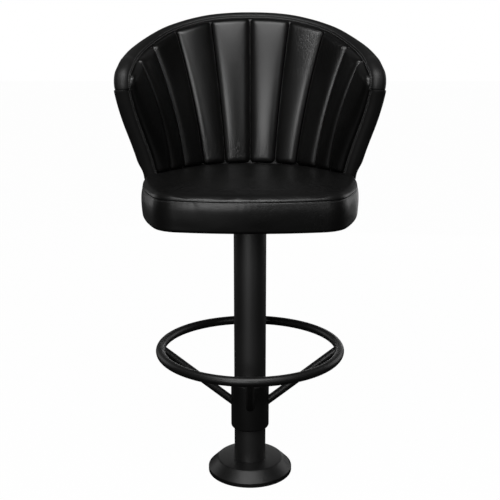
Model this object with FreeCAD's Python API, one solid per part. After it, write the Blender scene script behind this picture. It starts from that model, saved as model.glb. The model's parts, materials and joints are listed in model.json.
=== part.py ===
import FreeCAD, Part
import math
import os

from FreeCAD import Vector

# A swivel bar stool: a bolt-down column with a foot ring, and an upholstered bucket seat on a bearing.
# Millimetres, +Z up, origin on the floor at the column's axis, the sitter facing -Y.

# Floor plate and column
plate_d = 190.0
plate_t = 10.0
bolt_circle_d = 134.0
bolt_hole_d = 13.0
bolt_count = 4
spigot_h = 8.0
spigot_wall = 8.0
column_d = 76.2
column_wall = 3.0
column_h = 610.0

# Flange cover, a hollow cone that is loose on the column
cover_d = 205.0
cover_rim_h = 10.0
cover_top_d = 158.0
cover_h = 33.0
cover_wall = 1.5
cover_edge_r = 3.0
cover_top_edge_r = 5.0
cover_gap = 0.4

# Foot rest: collar, ring, struts and set screws
collar_d = 92.0
collar_h = 116.0
collar_z = 116.0
collar_gap = 0.08
collar_low_edge_r = 6.0
collar_top_edge_r = 1.5
ring_axis_r = 214.0
ring_tube_d = 22.0
ring_z = 317.0
strut_d = 19.0
strut_foot_z = 184.0
strut_names = ("front", "right", "back", "left")
screw_d = 8.0
screw_below_top = 20.0
screw_recess = 1.0
screw_angles = (45.0, 135.0)

# Swivel: housing pressed into the column, two bushes, a thrust bearing and the spindle
spindle_d = 25.0
spindle_gap = 0.05
bush_wall = 4.5
bush_l = 30.0
bush_flange_wall = 7.5
bush_flange_t = 2.5
housing_l = 90.0
housing_flange_t = 6.0
ball_d = 10.0
ball_count = 12
ball_circle_d = 56.0
ball_gap = 0.05
race_t = 5.0
race_groove = 1.0
race_inner_d = 40.2
race_outer_d = 72.0
cage_t = 4.0
cage_wall = 2.0
shoulder_gap = 0.1
shoulder_h = 10.0
washer_t = 2.5
washer_gap = 0.3
washer_rim = 6.0
clip_t = 1.6
clip_depth = 1.0
clip_rim = 3.5
spindle_tail = 4.0

# Seat plate, its bolts and the seat board
seat_plate_w = 200.0
seat_plate_t = 6.0
seat_plate_corner_r = 15.0
seat_bolt_pitch = 150.0
seat_bolt_d = 8.0
seat_bolt_head_d = 13.0
seat_bolt_head_h = 5.3
nut_barrel_d = 11.0
nut_barrel_l = 11.0
nut_flange_d = 22.0
nut_flange_t = 1.5
dust_cover_t = 1.0
dust_cover_inset = 24.0
board_t = 15.0
board_inset = 18.5

# Seat outline at the seam: tangent arcs from the front round to the back
seat_front = 237.0
seat_front_r = 594.0
seat_corner_r = 72.0
seat_half_w = 246.5
seat_widest_y = 15.0
seat_side_r = 480.0
seat_rear_corner_r = 150.0
seat_back = 248.0
seat_back_r = 262.0
seat_front_span = 165.0
foot_set_back = 7.0

# Seat cushion: band below the seam, crowned cover above it
skin_t = 2.5
band_h = 67.0
band_roll_r = 9.0
band_roll_start = 30.0
band_bulge = 1.5
roll_rows = 5
bulge_rows = 4
shoulder_w = 36.0
shoulder_rise = 13.0
shoulder_rows = 6
crown_rise = 5.0
crown_plan_shares = (0.85, 0.6, 0.3)
crown_rise_shares = (0.4, 0.8, 1.0)

# Back: an inner surface from the seam up to the rim, at stations from the middle round to each facing.
# Each table holds one share for each station, the middle one first.
back_reach = 215.0
back_foot_span = 73.5
back_half_w = 264.0
back_depth = 280.0
back_rise = 363.0
back_bow = 20.0
foot_angle_shares = (0.0, 0.226, 0.435, 0.667, 0.854, 1.0)
foot_reach_shares = (1.0, 1.0, 1.005, 0.995, 1.005, 1.05)
rim_x_shares = (0.0, 0.375, 0.693, 0.887, 0.966, 1.0)
rim_y_shares = (1.0, 0.95, 0.782, 0.493, 0.164, -0.171)
rim_z_shares = (1.0, 0.982, 0.917, 0.824, 0.747, 0.656)
bow_shares = (0.6, 0.6, 0.6, 0.6, 0.8, -0.15)
last_station = len(rim_x_shares) - 1
back_stations = [i / 2 for i in range(-2 * last_station, 2 * last_station + 1)]

# Back layers, measured outward from the inner surface, and the rolled edge
shell_board_gap = 0.4
shell_board_start = 6.3
shell_board_t = 10.0
pad_gap = 0.1
back_t = 37.0
rim_gap = 0.8
rim_corner_r = 26.0
corner_steps = 6

# Channels: padded, with rounded shoulders and a narrow groove between neighbours
channel_proud = 12.0
channel_shoulder_r = 10.0
channel_crown = 1.5
channel_gap = 1.6
channel_clear = 1.4
channel_end_gap = 2.0
channel_trim = 1.0
channel_end_h = 14.0
channel_end_depth_share = 0.15
channel_turn_share = 0.25
channel_turn_depth_share = 0.62
channel_mid_shares = (0.2, 0.4, 0.6, 0.8)

# Angle brackets and their screws
bracket_w = 40.0
bracket_t = 5.0
bracket_foot = 42.0
bracket_h = 44.0
bracket_set_in = 2.5
bracket_angles = (-45.0, 0.0, 45.0)
wood_screw_d = 4.5
wood_screw_l = 13.0
wood_screw_head_d = 9.0
wood_screw_head_h = 2.0

overrun = 20.0
half_turn = 180.0
quarter_turn = 90.0
full_turn = 360.0

# Heights that follow from the sizes above, from the floor up
column_top_z = plate_t + column_h
housing_top_z = column_top_z + housing_flange_t
ball_z = housing_top_z + race_t - race_groove + ball_d / 2
seat_plate_z = ball_z + ball_d / 2 + race_t - race_groove
seat_base_z = seat_plate_z + seat_plate_t
board_z = seat_base_z + dust_cover_t
board_top_z = board_z + board_t
seam_z = seat_base_z + band_h
crown_z = seam_z + shoulder_rise
collar_top_z = collar_z + collar_h

up = Vector(0, 0, 1)
origin = Vector(0, 0, 0)
bearing_bore_d = spindle_d + 2 * spindle_gap
bush_d = bearing_bore_d + 2 * bush_wall
column_bore_d = column_d - 2 * column_wall


def save(name, shape):
    shape.exportStep("parts/" + name + ".step")


def disc(diameter, low_z, high_z):
    return Part.makeCylinder(diameter / 2, high_z - low_z, Vector(0, 0, low_z), up)


def sleeve(outer_d, inner_d, low_z, high_z):
    return disc(outer_d, low_z, high_z).cut(disc(inner_d, low_z, high_z))


def turned(shape, degrees):
    copy = shape.copy()
    copy.rotate(origin, up, degrees)
    return copy


def mirrored(shape):
    return shape.mirror(origin, Vector(1, 0, 0))


def rounded(shape, z, radius):
    """The shape with every edge that lies at height z rounded."""
    slack = shape.BoundBox.DiagonalLength / 1e6
    edges = []
    for edge in shape.Edges:
        box = edge.BoundBox
        if max(abs(box.ZMin - z), abs(box.ZMax - z)) < slack:
            edges.append(edge)
    return shape.makeFillet(radius, edges)


def arc(start, middle, end):
    return Part.Arc(start, middle, end).toShape()


def line(start, end):
    return Part.makeLine(start, end)


def largest(shape):
    return max(shape.Solids, key=lambda solid: solid.Volume)


def loft(wires):
    return Part.makeLoft(wires, True, False)


def ruled_loft(wires):
    return Part.makeLoft(wires, True, True)


def above(z):
    """A block that fills all the space of the part above height z."""
    reach = 2 * (seat_half_w + back_depth)
    height = back_rise + 2 * overrun + seam_z
    return Part.makeBox(2 * reach, 2 * reach, height, Vector(-reach, -reach, z))


# Floor plate, column and cover
def floor_plate():
    plate = disc(plate_d, 0, plate_t)
    spigot = sleeve(column_bore_d, column_bore_d - 2 * spigot_wall, plate_t, plate_t + spigot_h)
    hole = Part.makeCylinder(bolt_hole_d / 2, plate_t, Vector(bolt_circle_d / 2, 0, 0), up)
    holes = [turned(hole, full_turn * (i + 1 / 2) / bolt_count) for i in range(bolt_count)]
    return plate.fuse(spigot).cut(Part.makeCompound(holes)).removeSplitter()


def column_tube():
    return sleeve(column_d, column_bore_d, plate_t, column_top_z)


def cone(rim_r, rim_z, top_r, top_z):
    points = [Vector(0, 0, 0), Vector(rim_r, 0, 0), Vector(rim_r, 0, rim_z), Vector(top_r, 0, top_z)]
    points += [Vector(0, 0, top_z), Vector(0, 0, 0)]
    return Part.Face(Part.makePolygon(points)).revolve(origin, up, full_turn)


def flange_cover():
    rim_r = cover_d / 2
    top_r = cover_top_d / 2
    outside = cone(rim_r, cover_rim_h, top_r, cover_h)
    outside = rounded(outside, cover_rim_h, cover_edge_r)
    outside = rounded(outside, cover_h, cover_top_edge_r)
    inside_rim_z = cover_rim_h - cover_wall / 2
    inside = cone(rim_r - cover_wall, inside_rim_z, top_r - cover_wall / 2, cover_h - cover_wall)
    hole = disc(column_d + 2 * cover_gap, 0, cover_h)
    return outside.cut(inside).cut(hole)


# Foot rest
def foot_ring():
    return Part.makeTorus(ring_axis_r, ring_tube_d / 2, Vector(0, 0, ring_z), up)


def strut():
    foot = Vector(0, -collar_d / 2, strut_foot_z)
    head = Vector(0, -ring_axis_r, ring_z)
    along = (head - foot).normalize()
    start = foot - along * strut_d
    bar = Part.makeCylinder(strut_d / 2, (head - start).Length, start, along)
    collar_line = disc(collar_d, 0, ring_z)
    return bar.cut(collar_line).cut(foot_ring())


def set_screws():
    bore_r = column_d / 2 + collar_gap
    length = collar_d / 2 - bore_r - screw_recess
    place = Vector(bore_r, 0, collar_top_z - screw_below_top)
    screw = Part.makeCylinder(screw_d / 2, length, place, Vector(1, 0, 0))
    return [turned(screw, angle) for angle in screw_angles]


def foot_collar():
    body = disc(collar_d, collar_z, collar_top_z)
    wall = (collar_d - column_d) / 2 - collar_gap
    body = rounded(body, collar_z, min(collar_low_edge_r, wall * 3 / 4))
    body = rounded(body, collar_top_z, min(collar_top_edge_r, wall / 2))
    body = body.cut(disc(column_d + 2 * collar_gap, collar_z, collar_top_z))
    screw_z = collar_top_z - screw_below_top
    hole = Part.makeCylinder(screw_d / 2, collar_d, Vector(0, 0, screw_z), Vector(1, 0, 0))
    return body.cut(Part.makeCompound([turned(hole, angle) for angle in screw_angles]))


# Swivel
def swivel_housing():
    sleeve_part = disc(column_bore_d, column_top_z - housing_l, column_top_z)
    flange = disc(column_d, column_top_z, housing_top_z)
    bore = disc(bush_d, column_top_z - housing_l, housing_top_z)
    return sleeve_part.fuse(flange).cut(bore).removeSplitter()


def bush(flange_low_z, flange_high_z, sleeve_low_z, sleeve_high_z):
    flange = sleeve(bearing_bore_d + 2 * bush_flange_wall, bearing_bore_d, flange_low_z, flange_high_z)
    return flange.fuse(sleeve(bush_d, bearing_bore_d, sleeve_low_z, sleeve_high_z)).removeSplitter()


def upper_bush():
    return bush(housing_top_z, housing_top_z + bush_flange_t, housing_top_z - bush_l, housing_top_z)


def lower_bush():
    low_z = column_top_z - housing_l
    return bush(low_z - bush_flange_t, low_z, low_z, low_z + bush_l)


def race_track():
    return Part.makeTorus(ball_circle_d / 2, ball_d / 2 + ball_gap, Vector(0, 0, ball_z), up)


def race(low_z):
    return sleeve(race_outer_d, race_inner_d, low_z, low_z + race_t).cut(race_track())


def balls():
    ball = Part.makeSphere(ball_d / 2, Vector(ball_circle_d / 2, 0, ball_z), up)
    return [turned(ball, full_turn * i / ball_count) for i in range(ball_count)]


def bearing_cage():
    rim = ball_d + 2 * cage_wall
    low_z = ball_z - cage_t / 2
    cage = sleeve(ball_circle_d + rim, ball_circle_d - rim, low_z, low_z + cage_t)
    pocket = Part.makeCylinder(ball_d / 2 + ball_gap, cage_t, Vector(ball_circle_d / 2, 0, low_z), up)
    pockets = [turned(pocket, full_turn * i / ball_count) for i in range(ball_count)]
    return cage.cut(Part.makeCompound(pockets))


washer_top_z = column_top_z - housing_l - bush_flange_t - washer_gap
clip_top_z = washer_top_z - washer_t


def clip_groove():
    return sleeve(spindle_d, spindle_d - 2 * clip_depth, clip_top_z - clip_t, clip_top_z)


def swivel_spindle():
    bar = disc(spindle_d, clip_top_z - clip_t - spindle_tail, seat_base_z)
    shoulder = disc(race_inner_d - 2 * shoulder_gap, seat_plate_z - shoulder_h, seat_plate_z)
    return bar.fuse(shoulder).cut(clip_groove()).removeSplitter()


def retaining_washer():
    return sleeve(spindle_d + 2 * washer_rim, bearing_bore_d, clip_top_z, washer_top_z)


def retaining_clip():
    outer_d = spindle_d + 2 * clip_rim
    inner_d = spindle_d - 2 * clip_depth
    ring = sleeve(outer_d, inner_d, clip_top_z - clip_t, clip_top_z)
    mouth = inner_d / 2
    slot = Part.makeBox(outer_d, mouth, clip_t, Vector(0, -mouth / 2, clip_top_z - clip_t))
    return ring.cut(slot)


# Seat outline and cushion
def left_of_way(start, start_r, end, end_r):
    """The point start_r from start and end_r from end, on the left of the way between them."""
    way = end - start
    along = (start_r**2 - end_r**2 + way.Length**2) / (2 * way.Length)
    aside = math.sqrt(start_r**2 - along**2)
    way.normalize()
    return start + way * along + Vector(-way.y, way.x, 0) * aside


def seat_arcs(set_back):
    """Centre, radius, start and end direction of each arc, with the front's middle set back."""
    bulge = seat_front_r - math.sqrt(seat_front_r**2 - seat_front_span**2) - set_back
    front_r = (seat_front_span**2 + bulge**2) / (2 * bulge)
    front = Vector(0, front_r - seat_front + set_back, 0)
    side = Vector(seat_half_w - seat_side_r, seat_widest_y, 0)
    back = Vector(0, seat_back - seat_back_r, 0)
    corner = left_of_way(front, front_r - seat_corner_r, side, seat_side_r - seat_corner_r)
    rear = left_of_way(side, seat_side_r - seat_rear_corner_r, back, seat_back_r - seat_rear_corner_r)
    at_front = heading(front, corner)
    at_side = heading(side, corner)
    at_rear = heading(side, rear)
    at_back = heading(back, rear)
    return [
        (corner, seat_corner_r, at_front, at_side),
        (side, seat_side_r, at_side, at_rear),
        (rear, seat_rear_corner_r, at_rear, at_back),
        (back, seat_back_r, at_back, half_turn - at_back),
        (front, front_r, -half_turn - at_front, at_front),
    ]


def heading(start, end):
    return math.degrees(math.atan2(end.y - start.y, end.x - start.x))


def seat_outline(inset, z, plan_share=1.0):
    """The seam's outline, drawn in by inset, at height z. Below the seam, its front leans back."""
    set_back = foot_set_back * max(seam_z - z, 0) / band_h

    def point(centre, radius, degrees):
        turn = math.radians(degrees)
        reach = radius - inset
        x = centre.x + reach * math.cos(turn)
        y = centre.y + reach * math.sin(turn)
        return Vector(x * plan_share, y * plan_share, z)

    right, left, across = [], [], []
    for centre, radius, start, end in seat_arcs(set_back):
        ends = [point(centre, radius, d) for d in (start, (start + end) / 2, end)]
        if centre.x:
            right.append(arc(*ends))
            left.insert(0, arc(*[Vector(-p.x, p.y, p.z) for p in reversed(ends)]))
        else:
            across.append(arc(*ends))
    back, front = across
    return Part.Wire(right + [back] + left + [front])


def band_wires(depth):
    """Outlines of the band from its foot up to the seam, drawn in by a further depth."""
    start = math.radians(band_roll_start)
    sweep = math.radians(quarter_turn) - start
    wires = []
    for row in range(roll_rows):
        turn = start + sweep * row / (roll_rows - 1)
        z = seat_base_z + band_roll_r * (math.cos(start) - math.cos(turn))
        wires.append(seat_outline(depth + band_roll_r * (1 - math.sin(turn)), z))
    roll_z = seat_base_z + band_roll_r * math.cos(start)
    for row in range(bulge_rows):
        share = (row + 1) / bulge_rows
        bulge = band_bulge * math.sin(math.radians(half_turn * share))
        wires.append(seat_outline(depth - bulge, roll_z + (seam_z - roll_z) * share))
    return wires


def crown_wires(depth):
    """Outlines of the cover from the seam up to its crown, with the cover's skin taken off by depth."""
    wires = []
    for row in range(shoulder_rows):
        turn = math.radians(quarter_turn * row / (shoulder_rows - 1))
        inset = shoulder_w * (1 - math.cos(turn)) + depth * math.cos(turn)
        wires.append(seat_outline(inset, seam_z + (shoulder_rise - depth) * math.sin(turn)))
    for plan_share, rise_share in zip(crown_plan_shares, crown_rise_shares):
        z = crown_z - depth + crown_rise * rise_share
        wires.append(seat_outline(shoulder_w, z, plan_share))
    return wires


def dust_cover():
    outline = seat_outline(dust_cover_inset, seat_base_z)
    return Part.Face(outline).extrude(up * dust_cover_t)


def seat_board():
    outline = seat_outline(board_inset, board_z)
    return Part.Face(outline).extrude(up * board_t)


def seat_bolt_places():
    half = seat_bolt_pitch / 2
    return [Vector(x, y, 0) for x in (-half, half) for y in (-half, half)]


def seat_bolt_set():
    head = disc(seat_bolt_head_d, seat_plate_z - seat_bolt_head_h, seat_plate_z)
    shank = disc(seat_bolt_d, seat_plate_z, board_top_z)
    return copies(head.fuse(shank).removeSplitter())


def tee_nut_set():
    barrel = sleeve(nut_barrel_d, seat_bolt_d, board_top_z - nut_barrel_l, board_top_z)
    flange = sleeve(nut_flange_d, seat_bolt_d, board_top_z, board_top_z + nut_flange_t)
    return copies(barrel.fuse(flange).removeSplitter())


def copies(shape):
    return Part.makeCompound([shape.translated(place) for place in seat_bolt_places()])


def seat_plate():
    half = seat_plate_w / 2
    plate = Part.makeBox(seat_plate_w, seat_plate_w, seat_plate_t, Vector(-half, -half, seat_plate_z))
    upright = [e for e in plate.Edges if e.BoundBox.ZLength > seat_plate_t / 2]
    plate = plate.makeFillet(seat_plate_corner_r, upright)
    holes = copies(disc(seat_bolt_d, seat_plate_z, seat_base_z))
    return plate.cut(holes).cut(disc(spindle_d, seat_plate_z, seat_base_z))


# Back surface
def entry(shares, station, odd):
    """A table's share at a whole station, which may be left of the middle or just past the end."""
    place = abs(station)
    if place > last_station:
        value = 2 * shares[last_station] - shares[last_station - 1]
    else:
        value = shares[place]
    return -value if odd and station < 0 else value


def share_at(shares, station, odd=False):
    """A table's share at any station, by a cubic through the four entries round it."""
    low = min(math.floor(station), last_station - 1)
    part = station - low
    a, b, c, d = [entry(shares, low + i, odd) for i in (-1, 0, 1, 2)]
    slope_b = (c - a) / 2
    slope_c = (d - b) / 2
    curve = 3 * (c - b) - 2 * slope_b - slope_c
    twist = 2 * (b - c) + slope_b + slope_c
    return b + slope_b * part + curve * part**2 + twist * part**3


def foot_point(station):
    turn = math.radians(back_foot_span * share_at(foot_angle_shares, station, True))
    reach = back_reach * share_at(foot_reach_shares, station)
    return Vector(reach * math.sin(turn), reach * math.cos(turn), seam_z)


def rim_point(station):
    x = back_half_w * share_at(rim_x_shares, station, True)
    y = back_depth * share_at(rim_y_shares, station)
    return Vector(x, y, seam_z + back_rise * share_at(rim_z_shares, station))


def upright(station):
    return (rim_point(station) - foot_point(station)).normalize()


def outward(station):
    """The direction through the back's thickness, square to its height at this station."""
    before = max(station - 1, -last_station)
    after = min(station + 1, last_station)
    along = (foot_point(after) + rim_point(after)) - (foot_point(before) + rim_point(before))
    return upright(station).cross(along).normalize()


def inner_point(station, height_share):
    """A point of the back's inner surface: 0 at the seam and 1 at the rim, bowed in between."""
    foot = foot_point(station)
    straight = foot + (rim_point(station) - foot) * height_share
    bow = back_bow * share_at(bow_shares, station) * 4 * height_share * (1 - height_share)
    return straight - outward(station) * bow


def foot_tangent(station):
    """The direction straight down from the seam, along the inner surface."""
    bow = back_bow * share_at(bow_shares, station) * 4
    return (foot_point(station) - rim_point(station) + outward(station) * bow).normalize()


def layer_wire(station, near, far):
    """The outline of a layer of the back at a station, between two depths, reaching below the seam."""
    out = outward(station)
    down = foot_tangent(station) * (seam_z - board_z + overrun)
    points = [inner_point(station, share) for share in (0, 1 / 2, 1)]
    front = [p + out * near for p in points]
    rear = [p + out * far for p in points]
    edges = [line(front[0] + down, front[0]), arc(*front), line(front[2], rear[2])]
    edges += [arc(*reversed(rear)), line(rear[0], rear[0] + down), line(rear[0] + down, front[0] + down)]
    return Part.Wire(edges)


def layer(near, far, low_z):
    whole = loft([layer_wire(station, near, far) for station in back_stations])
    return whole.common(above(low_z)).cut(corner_trims())


def corner_frame():
    """Arc centre of the rim's front corner, with the forward, upward and outward directions there."""
    top = rim_point(last_station)
    rise = upright(last_station)
    out = outward(last_station)
    forward = out.cross(rise)
    centre = top - (rise + forward) * rim_corner_r
    return centre, forward, rise, out


def corner_trims():
    """What lies outside the rounded front corners of the back, right and left."""
    centre, forward, rise, out = corner_frame()
    depth = back_t + 2 * overrun
    far = rim_corner_r + overrun
    start = centre - out * overrun
    square = [start, start + forward * far, start + (forward + rise) * far, start + rise * far, start]
    block = Part.Face(Part.makePolygon(square)).extrude(out * depth)
    trim = block.cut(Part.makeCylinder(rim_corner_r, depth, start, out))
    return Part.makeCompound([trim, mirrored(trim)])


def edge_wire(base, out, away):
    """A half round over the back's edge: its flat from base through the thickness, its crest away."""
    radius = back_t / 2
    near = base + away * rim_gap
    centre = near + out * radius
    far = near + out * back_t
    low = radius * math.sqrt(1 / 2)
    first = arc(near, centre + (away - out) * low, centre + away * radius)
    second = arc(centre + away * radius, centre + (away + out) * low, far)
    return Part.Wire([first, second, line(far, near)])


def rim_band_top():
    """The rolled band along the top edge, round the corners and down to the facings."""
    centre, forward, rise, out = corner_frame()
    corner = []
    for step in range(corner_steps + 1):
        turn = math.radians(quarter_turn * step / corner_steps)
        away = rise * math.cos(turn) + forward * math.sin(turn)
        corner.append(edge_wire(centre + away * rim_corner_r, out, away))
    top = [edge_wire(rim_point(s), outward(s), upright(s)) for s in back_stations[1:-1]]
    left = [mirrored(wire) for wire in reversed(corner)]
    return loft(left + top + corner)


def facing():
    """The rolled band down the right front edge, from below the corner to the seam."""
    centre, forward, rise, out = corner_frame()
    chord = rim_point(last_station) - foot_point(last_station)
    top_share = 1 - rim_corner_r / chord.Length
    wires = []
    for share in (-overrun / chord.Length, top_share / 3, top_share * 2 / 3, top_share):
        wires.append(edge_wire(inner_point(last_station, share), out, forward))
    return loft(wires).common(above(seam_z))


# Channels
channel_foot_z = crown_z + channel_clear


def channel_height_share(station, place_share):
    """The back's height share at a place along the channels, from their foot to just under the rim."""
    foot = (channel_foot_z - seam_z) / (rim_point(station).z - seam_z)
    top = 1 - channel_end_gap / back_rise
    return foot + (top - foot) * place_share


def channel_wire(left, place_share, depth_share):
    """The outline across a channel, between station left and the next, at a share of its length."""
    right = left + 1
    corners = []
    for station in (left, right):
        corners.append(inner_point(station, channel_height_share(station, place_share)))
    across = (corners[1] - corners[0]).normalize()
    middle = left + 1 / 2
    behind = inner_point(middle, channel_height_share(middle, place_share))
    chord_middle = (corners[0] + corners[1]) / 2
    out = outward(middle)
    out = (out - across * out.dot(across)).normalize()
    sag = (behind - chord_middle).dot(out)
    back = shell_board_start + channel_trim
    proud = channel_proud * depth_share
    radius = channel_shoulder_r * depth_share
    start = corners[0] + across * (channel_gap / 2)
    end = corners[1] - across * (channel_gap / 2)
    low_turn = radius * (1 - math.sqrt(1 / 2))
    left_side = start - out * (proud - radius)
    right_side = end - out * (proud - radius)
    left_top = start + across * radius - out * proud
    right_top = end - across * radius - out * proud
    left_mid = start + across * low_turn - out * (proud - low_turn)
    right_mid = end - across * low_turn - out * (proud - low_turn)
    crest = chord_middle - out * (proud + channel_crown * depth_share)
    edges = [arc(start + out * back, chord_middle + out * (back + sag), end + out * back)]
    edges += [line(end + out * back, right_side), arc(right_side, right_mid, right_top)]
    edges += [arc(right_top, crest, left_top), arc(left_top, left_mid, left_side)]
    edges += [line(left_side, start + out * back)]
    return Part.Wire(edges)


def channel(left, board_space):
    """The channel right of a station, its back cut to follow the board."""
    end_share = channel_end_h / back_rise
    rows = [(0.0, channel_end_depth_share), (end_share * channel_turn_share, channel_turn_depth_share)]
    rows += [(end_share, 1.0)]
    middle = [(share, 1.0) for share in channel_mid_shares]
    far = [(1 - place, depth) for place, depth in reversed(rows)]
    body = loft([channel_wire(left, place, depth) for place, depth in rows + middle + far])
    body = body.cut(board_space)
    if abs(left + 1 / 2) > last_station - 1:
        body = body.cut(corner_trims())
    return largest(body)


# Brackets between the seat board and the back
def brackets_and_screws(board):
    """The angle brackets, each upright shaped to the back's board, and a screw in each leg."""
    seat = back_reach + shell_board_start
    front = seat - bracket_t - bracket_set_in
    left = -bracket_w / 2
    foot_place = Vector(left, seat - bracket_foot, board_top_z)
    foot = Part.makeBox(bracket_w, bracket_foot, bracket_t, foot_place)
    stand_depth = seat + bracket_t - front
    stand = Part.makeBox(bracket_w, stand_depth, bracket_h, Vector(left, front, board_top_z))
    plain = foot.fuse(stand).removeSplitter()
    foot_screw = wood_screw(Vector(0, seat - bracket_foot / 2, board_top_z + bracket_t), -up)
    stand_screw = wood_screw(Vector(0, front, board_top_z + bracket_h * 3 / 4), Vector(0, 1, 0))
    brackets, screws = [], []
    for angle in bracket_angles:
        pair = [turned(foot_screw, -angle), turned(stand_screw, -angle)]
        shaped = turned(plain, -angle).cut(board).cut(Part.makeCompound(pair))
        brackets.append(largest(shaped))
        screws += pair
    return Part.makeCompound(brackets), Part.makeCompound(screws)


def wood_screw(place, into):
    head = Part.makeCylinder(wood_screw_head_d / 2, wood_screw_head_h, place, -into)
    return head.fuse(Part.makeCylinder(wood_screw_d / 2, wood_screw_l, place, into)).removeSplitter()


os.makedirs("parts", exist_ok=True)

# Pedestal, cover and foot rest
save("floor_plate", floor_plate())
save("column_tube", column_tube())
save("flange_cover", flange_cover())
save("foot_ring", foot_ring())
save("foot_collar", foot_collar())
save("collar_set_screws", Part.makeCompound(set_screws()))
for index, name in enumerate(strut_names):
    save("strut_" + name, turned(strut(), quarter_turn * index))

# Swivel
save("swivel_housing", swivel_housing())
save("upper_bush", upper_bush())
save("lower_bush", lower_bush())
save("lower_race", race(housing_top_z))
save("upper_race", race(seat_plate_z - race_t))
save("bearing_balls", Part.makeCompound(balls()))
save("bearing_cage", bearing_cage())
save("swivel_spindle", swivel_spindle())
save("retaining_washer", retaining_washer())
save("retaining_clip", retaining_clip())
save("seat_plate", seat_plate())

# Back
board_end = shell_board_start + shell_board_t
pad_end = back_t - skin_t
back_board = layer(shell_board_start, board_end, board_top_z)
right_facing = facing()
left_facing = mirrored(right_facing)
bracket_set, screw_set = brackets_and_screws(back_board)
save("back_board", back_board.cut(screw_set))
save("back_outer_pad", layer(board_end + pad_gap, pad_end, seam_z))
save("back_outer_cover", layer(pad_end, back_t, seam_z))
save("rim_band_top", rim_band_top())
save("facing_right", right_facing)
save("facing_left", left_facing)
save("back_brackets", bracket_set)
save("bracket_screws", screw_set)
board_space = layer(shell_board_start - shell_board_gap, back_t + overrun, seam_z)
for index in range(2 * last_station):
    save("back_channel_%02d" % (index + 1), channel(index - last_station, board_space))

# Seat
seat_bolts = seat_bolt_set()
tee_nuts = tee_nut_set()
holes = copies(disc(nut_barrel_d, board_top_z - nut_barrel_l, board_top_z))
board = seat_board().cut(holes).cut(seat_bolts).cut(screw_set)
dust = dust_cover().cut(seat_bolts)
back_space = layer(shell_board_start, back_t + overrun, seam_z)
behind_board = layer(shell_board_start + shell_board_t / 2, back_t + overrun, seam_z)
crown = ruled_loft(crown_wires(0))
crown_filling = ruled_loft(crown_wires(skin_t))
band = ruled_loft(band_wires(0))
band_filling = ruled_loft(band_wires(skin_t))
top_cover = crown.cut(crown_filling)
for piece in (back_space, right_facing, left_facing):
    top_cover = top_cover.cut(piece)
for piece in (back_board, behind_board, right_facing, left_facing):
    crown_filling = crown_filling.cut(piece)
foam = band_filling.common(above(board_z)).cut(seat_board())
for piece in (back_board, bracket_set, screw_set, tee_nuts):
    foam = foam.cut(piece)
foam = foam.fuse(crown_filling)
save("seat_bolts", seat_bolts)
save("tee_nuts", tee_nuts)
save("seat_board", board)
save("dust_cover", dust)
save("seat_band", band.cut(band_filling))
save("seat_top_cover", top_cover)
save("seat_foam", foam)
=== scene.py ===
import json
from functools import cache
from math import atan2, copysign, cos, degrees, exp, floor, hypot, pi, radians, sin, sqrt, tan

import bmesh
import bpy
import numpy as np
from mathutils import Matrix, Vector, noise


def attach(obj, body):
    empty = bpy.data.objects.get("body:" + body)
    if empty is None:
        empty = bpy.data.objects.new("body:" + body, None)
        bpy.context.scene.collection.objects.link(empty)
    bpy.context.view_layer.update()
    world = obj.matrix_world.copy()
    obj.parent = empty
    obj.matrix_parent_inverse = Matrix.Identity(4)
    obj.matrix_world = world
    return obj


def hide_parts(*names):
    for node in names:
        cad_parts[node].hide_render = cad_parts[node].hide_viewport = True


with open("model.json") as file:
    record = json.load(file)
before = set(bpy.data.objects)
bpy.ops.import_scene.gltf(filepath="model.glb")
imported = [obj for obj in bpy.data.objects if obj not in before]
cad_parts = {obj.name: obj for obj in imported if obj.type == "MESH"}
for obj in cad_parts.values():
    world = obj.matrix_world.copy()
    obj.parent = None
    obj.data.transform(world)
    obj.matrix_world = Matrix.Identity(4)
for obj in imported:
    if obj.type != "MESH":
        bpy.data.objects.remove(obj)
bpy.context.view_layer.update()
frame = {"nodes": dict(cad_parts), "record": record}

# A swivel bar stool in black vinyl and powder-coated steel. The stool's own sizes below are in
# millimetres and degrees, as on its drawing. Meshes and materials are in metres.
MM = 0.001
scene = bpy.context.scene

# Back shell: its lists have one share for each station, from the middle round to the front edge
LAST = 5
FOOT_REACH = 215.0
FOOT_SPAN = 73.5
RIM_HALF_WIDTH = 264.0
RIM_DEPTH = 280.0
RIM_RISE = 363.0
BOW = 20.0
FOOT_ANGLE_SHARES = (0.0, 0.226, 0.435, 0.667, 0.854, 1.0)
FOOT_REACH_SHARES = (1.0, 1.0, 1.005, 0.995, 1.005, 1.05)
RIM_X_SHARES = (0.0, 0.375, 0.693, 0.887, 0.966, 1.0)
RIM_Y_SHARES = (1.0, 0.95, 0.782, 0.493, 0.164, -0.171)
RIM_Z_SHARES = (1.0, 0.982, 0.917, 0.824, 0.747, 0.656)
BOW_SHARES = (0.6, 0.6, 0.6, 0.6, 0.8, -0.15)
EDGE_SWAY = 3.0
PAD_START = 16.3
BACK_THICKNESS = 37.0
RIM_CORNER = 26.0
RIM_GAP = -0.6

# Seat outline: tangent arcs
SEAM_Z = 717.0
SEAT_FOOT_Z = 650.0
CROWN_Z = 730.0
CHANNEL_FOOT_Z = 730.5
SEAT_FRONT = 237.0
SEAT_FRONT_RADIUS = 594.0
SEAT_CORNER_RADIUS = 72.0
SEAT_HALF_WIDTH = 246.5
SEAT_WIDEST_Y = 15.0
SEAT_SIDE_RADIUS = 480.0
SEAT_REAR_CORNER_RADIUS = 150.0
SEAT_BACK = 248.0
SEAT_BACK_RADIUS = 262.0
SEAT_FRONT_SPAN = 165.0
FRONT_LEAN = 7.0
OUTLINE_POINTS = 400


# ---- Shares ----
def spread(count, low=0.0, high=1.0):
    return [low + (high - low) * i / (count - 1) for i in range(count)]


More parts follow.
